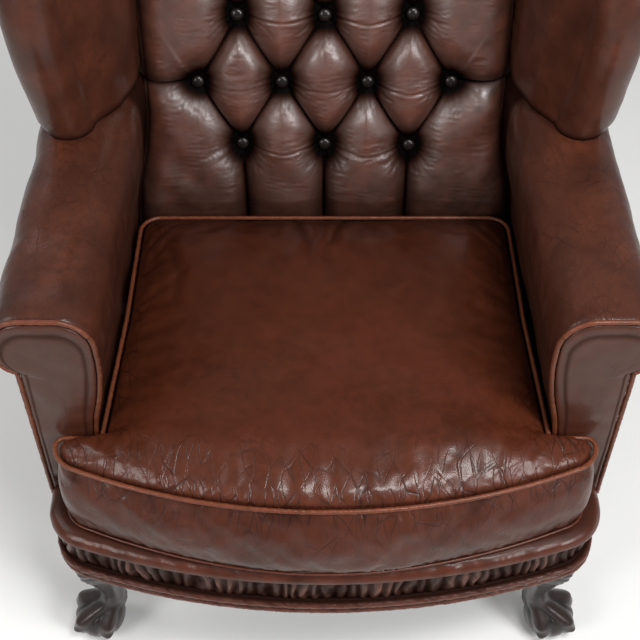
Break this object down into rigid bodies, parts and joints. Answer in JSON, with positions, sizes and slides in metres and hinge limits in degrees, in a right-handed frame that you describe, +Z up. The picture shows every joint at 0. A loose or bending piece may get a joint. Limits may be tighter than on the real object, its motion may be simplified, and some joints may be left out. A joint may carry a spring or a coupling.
{
  "type": "wingback chair",
  "caption": "Leather wing chair with a deep-buttoned back, rolled arms, a loose seat cushion, gathered base trim and cabriole front legs",
  "frame": {"origin": "on the floor, at the middle of the chair's box", "axes": "+Z up, the chair faces -Y, +X to the right of someone looking at its front"},
  "size_m": [0.804, 0.8135, 1.07],
  "materials": {
    "frame_wood": "sawn",
    "screw_steel": "zinc",
    "spring_steel": "oiled",
    "leg_wood": "dark polish",
    "burlap": "coarse weave",
    "deck_cloth": "plain weave",
    "padding": "foam",
    "webbing": "elastic webbing",
    "twine": "waxed twine",
    "toggle": "plain",
    "back_leather": "glossy, creased",
    "button_leather": "glossy",
    "arm_leather": "satin",
    "piping_leather": "satin",
    "ruched_leather": "satin",
    "seat_leather": "satin, worn",
    "zip_brass": "dull"
  },
  "bodies": {
    "chair": {"front_rail": "frame_wood", "back_rail": "frame_wood", "left_side_rail": "frame_wood", "right_side_rail": "frame_wood", "corner_blocks": "frame_wood", "left_back_post": "frame_wood", "right_back_post": "frame_wood", "crest_rail": "frame_wood", "lumbar_rail": "frame_wood", "left_arm_post": "frame_wood", "right_arm_post": "frame_wood", "left_arm_rail": "frame_wood", "right_arm_rail": "frame_wood", "left_wing_frame": "frame_wood", "right_wing_frame": "frame_wood", "corner_screws": "screw_steel", "spring_clips": "screw_steel", "foot_glides": "screw_steel", "seat_springs": "spring_steel", "left_front_leg": "leg_wood", "right_front_leg": "leg_wood", "left_rear_leg": "leg_wood", "right_rear_leg": "leg_wood", "burlap": "burlap", "deck_cover": "deck_cloth", "dust_cover": "deck_cloth", "deck_padding": "padding", "back_padding": "padding", "left_arm_padding": "padding", "right_arm_padding": "padding", "left_wing_padding": "padding", "right_wing_padding": "padding", "back_webbing": "webbing", "button_twine": "twine", "button_toggles": "toggle", "back_cover": "back_leather", "back_buttons": "button_leather", "left_arm_cover": "arm_leather", "right_arm_cover": "arm_leather", "left_arm_front": "arm_leather", "right_arm_front": "arm_leather", "left_wing_cover": "arm_leather", "right_wing_cover": "arm_leather", "outer_back_panel": "arm_leather", "border_roll": "arm_leather", "arm_piping": "piping_leather", "back_piping": "piping_leather", "base_piping": "piping_leather", "ruched_strip": "ruched_leather"},
    "cushion": {"cushion_foam": "padding", "cushion_top_panel": "seat_leather", "cushion_boxing": "seat_leather", "cushion_bottom_panel": "seat_leather", "cushion_piping": "piping_leather", "cushion_zip": "zip_brass"},
    "zip_slider": {"zip_slider": "zip_brass"}
  },
  "joints": [
    {"name": "cushion_slide", "type": "slide", "parent": "chair", "child": "cushion", "axis": [0, -0.9998, 0.0218], "range_m": [0, 0.6]},
    {"name": "zip_slide", "type": "slide", "parent": "cushion", "child": "zip_slider", "axis": [-1, 0, 0], "range_m": [0, 0.4]}
  ]
}
